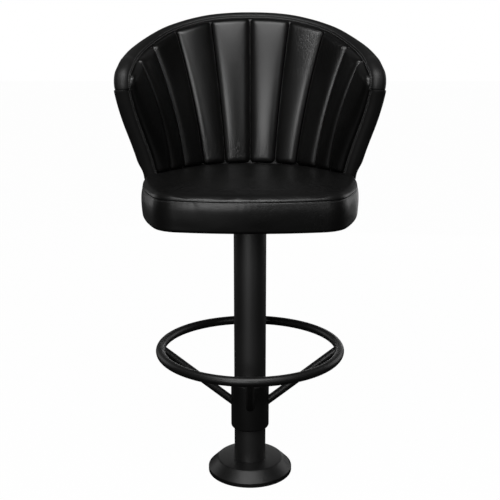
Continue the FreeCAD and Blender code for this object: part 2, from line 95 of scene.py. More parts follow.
def crowded(count, amount):
    """Shares from 0 to 1, drawn together towards both ends by an amount."""
    return [amount * (0.5 - 0.5 * cos(pi * v)) + (1 - amount) * v for v in spread(count)]


def eased(value):
    """A smooth step from 0 to 1."""
    value = min(max(value, 0.0), 1.0)
    return value * value * (3 - 2 * value)


def bell(distance, width):
    return exp(-(distance / width)**2)


def rounded_share(distance, radius):
    """How far a padded edge has risen, at a distance from its seam."""
    near = 1 - min(max(distance / radius, 0.0), 1.0)
    return sqrt(1 - near * near)


# ---- Meshes ----
def linked(name, data):
    """An object in the scene for a mesh, a lamp or a camera."""
    piece = bpy.data.objects.new(name, data)
    scene.collection.objects.link(piece)
    return piece


def mesh_piece(name, points, faces, edges=(), smooth=True):
    """A mesh object from points in millimetres."""
    mesh = bpy.data.meshes.new(name)
    mesh.from_pydata([tuple(c * MM for c in p) for p in points], edges, faces)
    mesh.update()
    mesh.polygons.foreach_set("use_smooth", [smooth] * len(mesh.polygons))
    return linked(name, mesh)


def closed_piece(name, points, faces, smooth=True):
    """A closed mesh object, its faces turned outward."""
    piece = mesh_piece(name, points, faces, smooth=smooth)
    shape = bmesh.new()
    shape.from_mesh(piece.data)
    bmesh.ops.recalc_face_normals(shape, faces=shape.faces)
    shape.to_mesh(piece.data)
    shape.free()
    return piece


def grid_faces(rows, columns, start=0, closed=False, flip=False):
    """Quads over rows of points, which run round to their first one where closed."""
    faces = []
    for r in range(rows - 1):
        for c in range(columns if closed else columns - 1):
            d = (c + 1) % columns
            quad = (start + r * columns + c, start + r * columns + d,
                    start + (r + 1) * columns + d, start + (r + 1) * columns + c)
            faces.append(quad[::-1] if flip else quad)
    return faces


def looped(items):
    """Each item with the next one, the last with the first."""
    items = list(items)
    return zip(items, items[1:] + items[:1])


def two_sided(name, front, back, columns):
    """A closed piece from a front and a back grid of points, joined round their edge."""
    total = len(front)
    rows = total // columns
    faces = grid_faces(rows, columns) + grid_faces(rows, columns, total, flip=True)
    rim = list(range(columns)) + [r * columns + columns - 1 for r in range(1, rows)]
    rim += [total - columns + c for c in range(columns - 2, -1, -1)]
    rim += [r * columns for r in range(rows - 2, 0, -1)]
    for i, j in looped(rim):
        faces.append((i, i + total, j + total, j))
    return closed_piece(name, front + back, faces)


# ---- The back's surface ----
def entry(shares, place, odd):
    """A station's share, carried on past the last one and mirrored past the middle."""
    size = abs(place)
    value = 2 * shares[LAST] - shares[LAST - 1] if size > LAST else shares[size]
    return -value if odd and place < 0 else value


def share_at(shares, station, odd=False):
    """The share at any place between stations, on a smooth curve."""
    low = min(floor(station), LAST - 1)
    part = station - low
    a, b, c, d = [entry(shares, low + i, odd) for i in (-1, 0, 1, 2)]
    slope_b, slope_c = (c - a) / 2, (d - b) / 2
    curve = 3 * (c - b) - 2 * slope_b - slope_c
    return b + slope_b * part + curve * part**2 + (2 * (b - c) + slope_b + slope_c) * part**3


@cache
def foot_point(station):
    turn = radians(FOOT_SPAN * share_at(FOOT_ANGLE_SHARES, station, True))
    reach = FOOT_REACH * share_at(FOOT_REACH_SHARES, station)
    return Vector((reach * sin(turn), reach * cos(turn), SEAM_Z))


@cache
def rim_point(station):
    return Vector((RIM_HALF_WIDTH * share_at(RIM_X_SHARES, station, True),
                   RIM_DEPTH * share_at(RIM_Y_SHARES, station),
                   SEAM_Z + RIM_RISE * share_at(RIM_Z_SHARES, station)))


@cache
def back_length(station):
    return (rim_point(station) - foot_point(station)).length


@cache
def upright(station):
    return (rim_point(station) - foot_point(station)).normalized()


@cache
def outward(station):
    before, after = max(station - 1, -LAST), min(station + 1, LAST)
    along = foot_point(after) + rim_point(after) - foot_point(before) - rim_point(before)
    return upright(station).cross(along).normalized()


def inner_point(station, height_share, depth=0.0):
    """A point of the back, depth millimetres outward from its inner surface."""
    foot = foot_point(station)
    bow = BOW * share_at(BOW_SHARES, station) * 4 * height_share * (1 - height_share)
    sway = sin(2 * pi * height_share) * max(abs(station) - LAST + 1, 0.0)**2
    bow += EDGE_SWAY * sway
    return foot + (rim_point(station) - foot) * height_share + outward(station) * (depth - bow)


def height_share(station, z, depth=0.0):
    """Where the back reaches height z, at a depth."""
    share = 0.0
    for _ in range(4):
        share += (z - inner_point(station, share, depth).z) / (rim_point(station).z - SEAM_Z)
    return share


def corner_frame(side):
    """The rim's front corner: its arc's centre, and its forward, rising and outward ways."""
    station = LAST * side
    rise, out = upright(station), outward(station)
    forward = out.cross(rise) * side
    return rim_point(station) - (rise + forward) * RIM_CORNER, forward, rise, out


def inside_corners(point, inset=0.0):
    """The point, moved onto the rim's rounded front corner where it lies beyond it."""
    for side in (-1, 1):
        centre, forward, rise, _ = corner_frame(side)
        off = point - centre
        ahead, above = off.dot(forward), off.dot(rise)
        size = hypot(ahead, above)
        if ahead > 0 and above > 0 and size > RIM_CORNER - inset:
            move = (RIM_CORNER - inset) / size - 1
            point = point + forward * (ahead * move) + rise * (above * move)
    return point


# ---- The seat's outline ----
def between(start, start_radius, end, end_radius):
    """Where two circles cross, on the left of the way from one centre to the other."""
    way = end - start
    along = (start_radius**2 - end_radius**2 + way.length**2) / (2 * way.length)
    aside = sqrt(start_radius**2 - along**2)
    way.normalize()
    return start + way * along + Vector((-way.y, way.x)) * aside


def heading(start, end):
    return degrees(atan2(end.y - start.y, end.x - start.x))


@cache
def seat_arcs(set_back):
    """The arcs of one half: each one's centre, radius, and directions of its start and end."""
    bulge = SEAT_FRONT_RADIUS - sqrt(SEAT_FRONT_RADIUS**2 - SEAT_FRONT_SPAN**2) - set_back
    front_radius = (SEAT_FRONT_SPAN**2 + bulge**2) / (2 * bulge)
    front = Vector((0, front_radius - SEAT_FRONT + set_back))
    side = Vector((SEAT_HALF_WIDTH - SEAT_SIDE_RADIUS, SEAT_WIDEST_Y))
    back = Vector((0, SEAT_BACK - SEAT_BACK_RADIUS))
    corner = between(front, front_radius - SEAT_CORNER_RADIUS,
                     side, SEAT_SIDE_RADIUS - SEAT_CORNER_RADIUS)
    rear = between(side, SEAT_SIDE_RADIUS - SEAT_REAR_CORNER_RADIUS,
                   back, SEAT_BACK_RADIUS - SEAT_REAR_CORNER_RADIUS)
    turns = [-90.0, heading(front, corner), heading(side, corner),
             heading(side, rear), heading(back, rear), 90.0]
    centres = (front, corner, side, rear, back)
    radii = (front_radius, SEAT_CORNER_RADIUS, SEAT_SIDE_RADIUS,
             SEAT_REAR_CORNER_RADIUS, SEAT_BACK_RADIUS)
    return list(zip(centres, radii, turns, turns[1:]))


def seat_outline(inset, z, share):
    """A point of the outline at height z, drawn in by inset. Shares go round from the front."""
    share = share % 1.0
    half = min(share, 1 - share) * 2
    seam = [radius * radians(end - start) for _, radius, start, end in seat_arcs(0.0)]
    left = half * sum(seam)
    set_back = FRONT_LEAN * max(SEAM_Z - z, 0) / (SEAM_Z - SEAT_FOOT_Z)
    for length, (centre, radius, start, end) in zip(seam, seat_arcs(round(set_back, 4))):
        turn = radians(start + (end - start) * min(left / length, 1.0))
        if left <= length:
            break
        left -= length
    x = centre.x + (radius - inset) * cos(turn)
    y = centre.y + (radius - inset) * sin(turn)
    return Vector((x if share <= 0.5 else -x, y, z))


def outline_row(count, inset, z):
    return [seat_outline(inset, z, i / count) for i in range(count)]


FACING_CENTRE = foot_point(LAST) + outward(LAST) * (BACK_THICKNESS / 2)
FACING_CLEARANCE = 19.3
BACK_CLEARANCE = 0.2


def clear_of_back(point):
    """The point, drawn to the middle until it clears the back's board and the facings."""
    reach = hypot(point.x, point.y)
    if reach < 1:
        return point
    turn = degrees(atan2(abs(point.x), point.y))
    limit = reach
    if turn <= FOOT_SPAN:
        station = float(np.interp(turn / FOOT_SPAN, FOOT_ANGLE_SHARES, range(LAST + 1)))
        wall = inner_point(station, max(point.z - SEAM_Z, 0.0) / RIM_RISE, -BACK_CLEARANCE)
        limit = min(limit, hypot(wall.x, wall.y))
    way = Vector((abs(point.x), point.y)) / reach
    centre = FACING_CENTRE.to_2d()
    along = centre.dot(way)
    aside = (centre - way * along).length
    if aside < FACING_CLEARANCE:
        limit = min(limit, along - sqrt(FACING_CLEARANCE**2 - aside**2))
    return Vector((point.x * limit / reach, point.y * limit / reach, point.z))


SIDE_TURNS, SIDE_REACHES = zip(*[
    (atan2(p.x, -p.y), hypot(p.x, p.y))
    for p in (seat_outline(0.0, SEAM_Z, share) for share in spread(OUTLINE_POINTS, 0.0, 0.4999))])
FLARE_HEIGHT = 46.0
FLARE_PROUD = 2.6


def drawn_to_seat(point):
    """The point of the back's outside, drawn in near its foot until it is flush with the seat."""
    reach = hypot(point.x, point.y)
    side = float(np.interp(atan2(abs(point.x), -point.y), SIDE_TURNS, SIDE_REACHES))
    excess = reach - side - FLARE_PROUD
    low = eased(1 - (point.z - SEAM_Z) / FLARE_HEIGHT)
    if excess <= 0 or low == 0:
        return point
    scale = 1 - excess * low / reach
    return Vector((point.x * scale, point.y * scale, point.z))


# ---- Node trees ----
class Term:
    """A node's output, which takes part in sums."""

    def __init__(self, nodes, socket):
        self.nodes = nodes
        self.socket = socket

    def maths(self, operation, first, second, clamp=False):
        return self.nodes.node("ShaderNodeMath", {0: first, 1: second},
                               operation=operation, use_clamp=clamp)

    def __add__(self, other):
        return self.maths("ADD", self, other)
    __radd__ = __add__

    def __sub__(self, other):
        return self.maths("SUBTRACT", self, other)

    def __rsub__(self, other):
        return self.maths("SUBTRACT", other, self)

    def __mul__(self, other):
        return self.maths("MULTIPLY", self, other)
    __rmul__ = __mul__

    def kept(self):
        """Held between 0 and 1."""
        return self.maths("ADD", self, 0.0, clamp=True)


class Nodes:
    """A node tree in the making."""

    def __init__(self, tree):
        self.tree = tree

    def node(self, kind, sockets=None, output=0, **settings):
        """A node with its settings made first, then its sockets set or linked."""
        node = self.tree.nodes.new(kind)
        for name, value in settings.items():
            setattr(node, name, value)
        for name, value in (sockets or {}).items():
            if isinstance(value, Term):
                self.tree.links.new(value.socket, node.inputs[name])
            else:
                node.inputs[name].default_value = value
        return Term(self, node.outputs[output]) if len(node.outputs) else None

    def between(self, value, low, high):
        """A smooth step from 0 to 1 as the value goes from low to high."""
        sockets = {"Value": value, "From Min": low, "From Max": high}
        return self.node("ShaderNodeMapRange", sockets, interpolation_type="SMOOTHSTEP")


class Finish(Nodes):
    """A material in the making, with its surface shader and the place on the piece."""

    def __init__(self, name, **constants):
        self.material = bpy.data.materials.new(name)
        self.material.use_nodes = True
        super().__init__(self.material.node_tree)
        self.surface = self.tree.nodes["Principled BSDF"]
        for socket, value in constants.items():
            self.surface.inputs[socket.replace("_", " ")].default_value = value
        self.place = self.node("ShaderNodeTexCoord", output="Object")

    def mapped(self, scale):
        return self.node("ShaderNodeMapping", {"Vector": self.place, "Scale": scale})

    def warped(self, place, scale, amount, detail=2.0):
        """A place moved about by an amount in metres."""
        sockets = {"Vector": self.place, "Scale": scale, "Detail": detail}
        sway = self.node("ShaderNodeTexNoise", sockets, "Color")
        sway = self.node("ShaderNodeVectorMath", {0: sway, "Scale": amount}, operation="SCALE")
        return self.node("ShaderNodeVectorMath", {0: place, 1: sway}, operation="ADD")

    def noise(self, scale, detail=2.0, rough=0.5, place=None, warp=0.0):
        return self.node("ShaderNodeTexNoise", {
            "Vector": place or self.place, "Scale": scale, "Detail": detail,
            "Roughness": rough, "Distortion": warp})

    def cells(self, scale, feature="F1", place=None, random=1.0):
        sockets = {"Vector": place or self.place, "Scale": scale, "Randomness": random}
        return self.node("ShaderNodeTexVoronoi", sockets, "Distance", feature=feature)

    def mix(self, factor, first, second):
        """Two colours mixed."""
        return self.node("ShaderNodeMix", {0: factor, 6: first, 7: second}, 2, data_type="RGBA")

    def done(self, colour, rough, height, depth, strength):
        """The material, with its colour, roughness and a relief depth metres deep."""
        normal = self.node("ShaderNodeBump",
                           {"Height": height, "Strength": strength, "Distance": depth})
        shown = {"Base Color": colour, "Roughness": rough.kept(), "Normal": normal}
        for socket, value in shown.items():
            self.tree.links.new(value.socket, self.surface.inputs[socket])
        return self.material


# ---- Finishes ----
def grey(level, warm=0.0):
    return (level * (1 + warm), level, level * (1 - warm), 1.0)


def vinyl(name, creases, tone=1.0, rough=0.31):
    """Black upholstery vinyl: pebbled grain, fine creases and a slightly uneven sheen."""
    finish = Finish(name, Specular_IOR_Level=0.42)
    pebbles = finish.cells(950.0, place=finish.warped(finish.place, 260.0, 0.0016))
    pores = finish.noise(2400.0)
    patches = finish.noise(9.0, 3.0)
    crease_place = finish.warped(finish.mapped((1.0, 1.0, 0.5)), 60.0, 0.012, 3.0)
    crease_edges = finish.cells(140.0, "DISTANCE_TO_EDGE", crease_place)
    where = finish.between(finish.noise(7.0), 0.38, 0.85)
    fold = (1 - finish.between(crease_edges, 0.0, 0.12)) * where * creases
    grain = (1 - pebbles) * 0.75 + pores * 0.25
    # tone scales the base colour; the facings' copy uses it for painted light, 2.8 times lighter
    # than the rest
    colour = finish.mix(finish.between(patches, 0.3, 0.75),
                        grey(0.0012 * tone, 0.02), grey(0.0022 * tone, 0.02))
    return finish.done(colour, rough + patches * 0.1 + pebbles * 0.05 + fold * 0.05,
                       grain * 0.12 + (1 - fold) * 0.88, 0.00045 + 0.00012 * creases, 0.6)


def powder_coat(name, shine, rough):
    """Satin black powder coat with its fine orange peel."""
    finish = Finish(name, Specular_IOR_Level=shine)
    peel = finish.noise(520.0, 2.0, 0.45)
    specks = finish.noise(2600.0, 1.0)
    patches = finish.noise(7.0)
    colour = finish.mix(finish.between(patches, 0.35, 0.7), grey(0.0022), grey(0.0034))
    return finish.done(colour, rough + patches * 0.06 + specks * 0.05,
                       peel * 0.9 + specks * 0.1, 0.00003, 0.5)


def steel(name, level, rough, metallic, drawn=1.0):
    """Steel with turned or rolled marks, drawn out by a share, and a slightly uneven finish."""
    finish = Finish(name, Metallic=metallic)
    marks = finish.noise(900.0, place=finish.mapped((1.0, 1.0, drawn)))
    patches = finish.noise(30.0, 3.0)
    colour = finish.mix(finish.between(patches, 0.3, 0.7), grey(level * 0.85), grey(level))
    return finish.done(colour, rough + patches * 0.1 + marks * 0.08, marks, 0.00008, 0.4)


def nylon():
    finish = Finish("natural_nylon")
    patches = finish.noise(60.0, 3.0)
    colour = finish.mix(patches, (0.62, 0.6, 0.53, 1.0), (0.72, 0.71, 0.65, 1.0))
    return finish.done(colour, 0.42 + patches * 0.15, finish.noise(1500.0, 1.0), 0.00005, 0.4)


def plywood():
    """Birch plywood: plies along its edges and a long grain on its faces."""
    finish = Finish("birch_plywood")
    grain = finish.noise(55.0, 5.0, 0.6, finish.mapped((1.0, 0.06, 1.0)), 0.6)
    sockets = {"Vector": finish.place, "Scale": 105.0, "Distortion": 0.4}
    plies = finish.node("ShaderNodeTexWave", sockets, "Fac", wave_type="BANDS", bands_direction="Z")
    wood = finish.mix(finish.between(grain, 0.3, 0.7),
                      (0.42, 0.27, 0.14, 1.0), (0.6, 0.43, 0.26, 1.0))
    colour = finish.mix(plies * 0.35, wood, (0.3, 0.18, 0.09, 1.0))
    return finish.done(colour, 0.62 + grain * 0.2, grain, 0.0002, 0.5)


def lining():
    """Black spun-bonded lining, with its pattern of small bonded dots."""
    finish = Finish("black_spun_lining", Specular_IOR_Level=0.25)
    dots = finish.between(finish.cells(700.0, random=0.15), 0.15, 0.45)
    fibres = finish.noise(1900.0, 3.0, 0.7, finish.mapped((1.0, 0.25, 1.0)))
    return finish.done(finish.mix(dots, grey(0.012), grey(0.028)), 0.75 + fibres * 0.2,
                       dots * 0.6 + fibres * 0.4, 0.0002, 0.6)


def thread(name, level):
    finish = Finish(name, Specular_IOR_Level=0.3)
    twist = finish.noise(3500.0, 1.0)
    return finish.done(finish.mix(twist, grey(level * 0.7), grey(level)), 0.5 + twist * 0.2,
                       twist, 0.0001, 0.5)


smooth_vinyl = vinyl("smooth_black_vinyl", 0.35)
creased_vinyl = vinyl("creased_black_vinyl", 1.0, 1.0, 0.27)
seat_vinyl = vinyl("seat_black_vinyl", 0.7)
rim_vinyl = vinyl("rim_black_vinyl", 0.3, 0.9, 0.46)
# The facings' copy of the black vinyl has its base colour painted 2.8 times lighter: painted light,
# where the facings catch little of the lamps
facing_vinyl_painted_lighter = vinyl("facing_black_vinyl", 0.3, 2.8, 0.44)
column_coat = powder_coat("column_black_powder_coat", 1.0, 0.43)
zinc = steel("zinc_plated_steel", 0.48, 0.34, 1.0)
cloth = lining()
dark_thread = thread("black_thread", 0.05)
grey_thread = thread("charcoal_thread", 0.12)

FINISH_OF_SLOT = {
    "powder_coat": powder_coat("satin_black_powder_coat", 0.48, 0.38),
    "plate_steel": steel("black_plate_paint", 0.02, 0.42, 0.0),
    "bright_steel": steel("turned_bright_steel", 0.55, 0.24, 1.0, 0.08),
    "fastener_steel": zinc, "bush_plastic": nylon(), "plywood": plywood(),
    "padding": cloth, "lining": cloth, "upholstery": smooth_vinyl}


# ---- Repeats and sweeps along seams, made with geometry nodes ----
class Rows(Nodes):
    """A geometry node tree in the making, with named inputs."""

    def __init__(self, name, **inputs):
        super().__init__(bpy.data.node_groups.new(name, "GeometryNodeTree"))
        faces = self.tree.interface
        for way in ("INPUT", "OUTPUT"):
            faces.new_socket("Geometry", in_out=way, socket_type="NodeSocketGeometry")
        kinds = {int: "Int", float: "Float", type(None): "Material"}
        for title, value in inputs.items():
            kind = "NodeSocket" + kinds[type(value)]
            socket = faces.new_socket(title, in_out="INPUT", socket_type=kind)
            if value is not None:
                socket.default_value = value
        self.start = self.tree.nodes.new("NodeGroupInput")

    def given(self, title):
        return Term(self, self.start.outputs[title])

    def closed(self, geometry):
        """The tree, closed with its finish on the geometry."""
        whole = self.node("GeometryNodeSetMaterial",
                          {"Geometry": geometry, "Material": self.given("Finish")})
        self.node("NodeGroupOutput", {0: whole})
        return self.tree

    def realized(self, geometry):
        """The tree, closed with its geometry real and smooth."""
        whole = self.node("GeometryNodeRealizeInstances", {"Geometry": geometry})
        return self.closed(self.node("GeometryNodeSetShadeSmooth", {"Geometry": whole}))


def bits_along(name, bit, slack, **inputs):
    """Small bits along every line of a wire mesh, at an even pitch, each a little out of line."""
    rows = Rows(name, **inputs, Finish=None)
    line = rows.node("GeometryNodeMeshToCurve", {"Mesh": rows.given("Geometry")})
    line = rows.node("GeometryNodeResampleCurve", {"Curve": line, "Length": rows.given("Pitch")},
                     mode="LENGTH")
    thickness = rows.given("Thickness")
    size = rows.node("ShaderNodeCombineXYZ",
                     {"X": thickness, "Y": thickness, "Z": rows.given("Length")})
    sockets = {"Min": tuple(-s for s in slack), "Max": slack, "Seed": rows.given("Seed")}
    sway = rows.node("FunctionNodeRandomValue", sockets, data_type="FLOAT_VECTOR")
    way = {0: rows.node("GeometryNodeInputTangent"), 1: sway}
    way = rows.node("ShaderNodeVectorMath", way, operation="ADD")
    turn = rows.node("FunctionNodeAlignRotationToVector", {"Vector": way}, axis="Z")
    return rows.realized(rows.node("GeometryNodeInstanceOnPoints", {
        "Points": line, "Instance": bit(rows, size), "Rotation": turn}))


def rounded_stitch(rows, size):
    ball = rows.node("GeometryNodeMeshUVSphere", {"Segments": 6, "Rings": 5, "Radius": 0.5})
    return rows.node("GeometryNodeTransform", {"Geometry": ball, "Scale": size})


def staple(rows, size):
    return rows.node("GeometryNodeMeshCube", {"Size": size})


def welt_sweep():
    """A round cord swept along every line of a wire mesh, with closed ends."""
    rows = Rows("welt_sweep", Thickness=0.001, Sides=8, Finish=None)
    line = rows.node("GeometryNodeMeshToCurve", {"Mesh": rows.given("Geometry")})
    ring = rows.node("GeometryNodeCurvePrimitiveCircle", {
        "Resolution": rows.given("Sides"), "Radius": rows.given("Thickness") * 0.5})
    return rows.realized(rows.node("GeometryNodeCurveToMesh", {
        "Curve": line, "Profile Curve": ring, "Fill Caps": True}))


def given_tree(piece, tree, **inputs):
    modifier = piece.modifiers.new(tree.name, "NODES")
    modifier.node_group = tree
    for item in tree.interface.items_tree:
        if item.in_out == "INPUT" and item.name in inputs:
            modifier[item.identifier] = inputs[item.name]


def settled(piece):
    """The piece, with what its modifiers make as its own plain mesh."""
    bpy.context.view_layer.update()
    graph = bpy.context.evaluated_depsgraph_get()
    mesh = bpy.data.meshes.new_from_object(piece.evaluated_get(graph))
    piece.modifiers.clear()
    piece.data = mesh
    mesh.name = piece.name
    return piece


def grown(name, lines, tree, slot="upholstery", closed=False, **inputs):
    """The plain mesh that a tree makes along lines, riding on the seat."""
    points, edges = [], []
    for line in lines:
        start = len(points)
        points += line
        edges += [(i, i + 1) for i in range(start, len(points) - 1)]
        if closed:
            edges.append((len(points) - 1, start))
    piece = mesh_piece(name, points, [], edges)
    given_tree(piece, tree, **inputs)
    settled(piece)
    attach(piece, "seat")


stitches_tree = bits_along("stitch_rows", rounded_stitch, (0.06, 0.06, 0.06),
                           Pitch=0.0042, Length=0.0031, Thickness=0.0008, Seed=7)
staples_tree = bits_along("staple_rows", staple, (0.2, 0.2, 0.0),
                          Pitch=0.028, Length=0.01, Thickness=0.0007, Seed=3)
welt_tree = welt_sweep()


# ---- Filling the pads ----
SWELL_FRAMES = 20
# a filling's pressure, how far its cover grows, and the most that a point moves
CHANNEL_SWELL = (2.0, 0.0, 1.2)
CUSHION_SWELL = (0.8, 0.001, 2.0)


def swollen(pads):
    """Lets each pad swell a little under its filling, its seams held, then fixes its shape."""
    scene.frame_start, scene.frame_end = 1, SWELL_FRAMES
    for piece, held, pressure, growth, _ in pads:
        group = piece.vertex_groups.new(name="held")
        group.add(held, 1.0, "REPLACE")
        filling = piece.modifiers.new("filling", "CLOTH")
        filling.collision_settings.use_collision = False
        cover = filling.settings
        cover.vertex_group_mass = "held"
        cover.quality = 4
        cover.use_pressure = True
        cover.uniform_pressure_force = pressure
        cover.shrink_min = -growth
        cover.effector_weights.gravity = 0.0
        filling.point_cache.frame_start, filling.point_cache.frame_end = 1, SWELL_FRAMES
    for step in range(1, SWELL_FRAMES + 1):
        scene.frame_set(step)
    graph = bpy.context.evaluated_depsgraph_get()
    shapes = [np.array([v.co for v in pad[0].evaluated_get(graph).data.vertices]) for pad in pads]
    for (piece, *_, most), shape in zip(pads, shapes):
        start = np.array([v.co for v in piece.data.vertices])
        move = shape - start
        size = np.linalg.norm(move, axis=1, keepdims=True) + 1e-12
        top = most * MM
        move *= top * np.tanh(size / top) / size
        piece.modifiers.clear()
        piece.vertex_groups.clear()
        piece.data.vertices.foreach_set("co", (start + move).astype(np.float32).ravel())
        piece.data.update()
    scene.frame_set(1)


def subdivided(piece):
    """One level of subdivision, fixed in the mesh."""
    finer = piece.modifiers.new("finer", "SUBSURF")
    finer.levels = finer.render_levels = 1
    return settled(piece)


def soft(piece, material, fill, *nodes):
    """A finished pad: its finish, its body and the nodes that it stands for; its filling (fill) is
    not used.
    """
    piece.data.materials.clear()
    piece.data.materials.append(material)
    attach(piece, "seat")
    if nodes:
        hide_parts(*nodes)


# ---- Channels of the back ----
CHANNEL_PROUD = 11.0
CHANNEL_SKIRT = 1.4
CHANNEL_CROWN = 3.8
CHANNEL_SHOULDER = 15.0
CHANNEL_END = 14.0
CHANNEL_CORNER = 11.0
CHANNEL_CORNER_SHOULDER = 8.0
CHANNEL_GAP = 1.2
CHANNEL_CLEARANCE = 0.15
CHANNEL_HEM = 2.5
CHANNEL_COLUMNS = 22
CHANNEL_ROWS = 84


def fitted_corner(aside, along, radius):
    """Distances to two edges, drawn evenly inside their rounded corner, and to the outline."""
    if aside < radius and along < radius:
        across, down = 1 - aside / radius, 1 - along / radius
        across, down = across * sqrt(1 - down**2 / 2), down * sqrt(1 - across**2 / 2)
        inside = 1 - hypot(across, down)
        return radius * (1 - across), radius * (1 - down), radius * inside
    return aside, along, min(aside, along)


def channel_pad(left):
    """One channel between two stations: a pillow on the back's surface, rounded at its ends."""
    lows = [height_share(s, CHANNEL_FOOT_Z) for s in (left, left + 1)]
    middle = left + 0.5
    length = (inner_point(middle, 1.0) - inner_point(middle, sum(lows) / 2)).length

    def sides(place):
        """The channel's two edges, at a share of its height."""
        return [inner_point(left + i, low + (1 - low) * place) for i, low in enumerate(lows)]

    def risen(share, place, out):
        """How far the rim's curve lies above a line between the top corners, let in upward."""
        curve = rim_point(left + share)
        curve = curve - rim_point(left) * (1 - share) - rim_point(left + 1) * share
        return (curve - out * curve.dot(out)) * place**4

    front, back, held = [], [], []
    for place in crowded(CHANNEL_ROWS, 0.45):
        start, end = sides(place)
        width = (end - start).length
        lower = place < 0.5
        for u in crowded(CHANNEL_COLUMNS, 0.55):
            on_left = u < 0.5
            outermost = left == -LAST if on_left else left == LAST - 1
            on_corner = outermost and not lower
            aside, along, inside = fitted_corner(
                min(u, 1 - u) * (width - CHANNEL_GAP), min(place, 1 - place) * length,
                RIM_CORNER if on_corner else CHANNEL_CORNER)
            share = (CHANNEL_GAP / 2 + aside) / width
            share = share if on_left else 1 - share
            spot = along / length if lower else 1 - along / length
            a, b = sides(spot)
            across = (b - a).normalized()
            out = outward(middle)
            out = (out - across * out.dot(across)).normalized()
            if on_corner:
                rise = rounded_share(inside, CHANNEL_SHOULDER)
            else:
                rise = rounded_share(aside, CHANNEL_SHOULDER) * rounded_share(along, CHANNEL_END)
                rise = min(rise, rounded_share(inside, CHANNEL_CORNER_SHOULDER))
            crown = CHANNEL_CROWN * (1 - (2 * share - 1)**2)
            proud = CHANNEL_SKIRT + (CHANNEL_PROUD - CHANNEL_SKIRT + crown) * rise
            if inside <= CHANNEL_HEM:
                held.append(len(front))
            front.append(a + (b - a) * share - out * proud + risen(share, spot, out))
            low = lows[0] * (1 - share) + lows[1] * share
            back.append(inner_point(left + share, low + (1 - low) * spot, -CHANNEL_CLEARANCE))
    total = len(front)
    piece = two_sided("back_channel_pad_%02d" % (left + LAST + 1), front, back, CHANNEL_COLUMNS)
    return piece, held + list(range(total, 2 * total)), *CHANNEL_SWELL


channel_pads = [channel_pad(left) for left in range(-LAST, LAST)]


# ---- Panels behind the channels and outside the back ----
PANEL_COLUMNS = 101
PANEL_ROWS = 44
CORNER_LIFT = 5.5
LIFT_STATIONS = 1.2
LIFT_EASE = 0.7
TURN_IN_WIDTH = 7.0
TURN_IN_START = 0.3
FOOT_SLACK = 2.0
STATION_WIDTH = 60.0


def back_panel(name, near, far, low_z, top_inset, turn_in):
    """A closed panel of the back between two depths, its edges turned in, cut to the rim."""
    sides = []
    for depth, facing in ((near, -1), (far, 1)):
        points = []
        for s in spread(PANEL_COLUMNS, -LAST, LAST):
            length = back_length(s)
            low = height_share(s, low_z, depth)
            lift = CORNER_LIFT * eased((abs(s) - LAST + LIFT_STATIONS) / LIFT_EASE)
            high = 1 + (lift - top_inset) / length
            for v in crowded(PANEL_ROWS, 0.35):
                share = low + (high - low) * v
                inside = min((high - share) * length, (share - low) * length + FOOT_SLACK,
                             (LAST - abs(s)) * STATION_WIDTH)
                edge = turn_in * (1 - rounded_share(inside + TURN_IN_START, TURN_IN_WIDTH))
                point = inside_corners(inner_point(s, share), top_inset)
                points.append(drawn_to_seat(point + outward(s) * (depth - facing * edge)))
        sides.append(points)
    return two_sided(name, *sides, PANEL_ROWS)


backing = back_panel("back_channel_backing", near=0.2, far=5.6, low_z=SEAM_Z + 0.6,
                     top_inset=-0.4, turn_in=0.0)
outside = back_panel("outside_back_cover", near=PAD_START + 0.4, far=BACK_THICKNESS + 0.4,
                     low_z=SEAM_Z - 0.6, top_inset=0.6, turn_in=1.8)


# ---- Rolled rim and facings: turns are round the roll, in radians from its inner seam ----
ROLL = BACK_THICKNESS / 2
ROLL_HEIGHT = 18.3
ROLL_POWER = 0.85
STRIP_TURN = 0.27
# each seam's turn, its depth and how far it spreads
SEAM_DENTS = ((0.0, 1.2, 0.07), (pi, 0.6, 0.12), (STRIP_TURN, 1.3, 0.05))
CROSS_SEAM_TURN = radians(65)
CROSS_SEAM_REACH = 32.0
CROSS_SEAM_TUCK = 0.035
CROSS_SEAM_WIDTH = 1.3
ROLL_TURNS = spread(13, 0.0, 0.36) + spread(20, 0.44, pi)
ROLL_POINTS = len(ROLL_TURNS)
PUCKER = 0.35
PUCKER_LENGTH = 9.0
PUCKER_SPREAD = 0.35
WAVE_SHARE = 0.7
WAVE_LENGTH = 42.0
RIM_STEP = 3.0
FACING_STEP = 3.6
END_STEP_SHARE = 0.12
WAY_WEIGHT = 10


def roll_place(turn, lift=0.0):
    """The roll's outline at a turn: outward, and away from the back's edge."""
    outward_share = copysign(abs(cos(turn))**ROLL_POWER, -cos(turn))
    dent = sum(depth * bell(turn - place, width) for place, depth, width in SEAM_DENTS)
    size = 1 + (lift - dent) / ROLL
    above = ROLL_HEIGHT * max(sin(turn), 0.0)**ROLL_POWER
    return ROLL * outward_share * size, above * size


def rolled_section(centre, out, away, along):
    """Points of the rolled edge, from its inner seam over the crest to its outer seam."""
    points = []
    for turn in ROLL_TURNS:
        pucker = noise.noise(Vector((along / PUCKER_LENGTH, turn, 4.0)))
        pucker *= exp(-abs(turn - STRIP_TURN) / PUCKER_SPREAD)
        pucker += WAVE_SHARE * noise.noise(Vector((along / WAVE_LENGTH, turn / 2, 9.0)))
        across, above = roll_place(turn, PUCKER * pucker * sin(turn))
        points.append(centre + out * across + away * above)
    return points


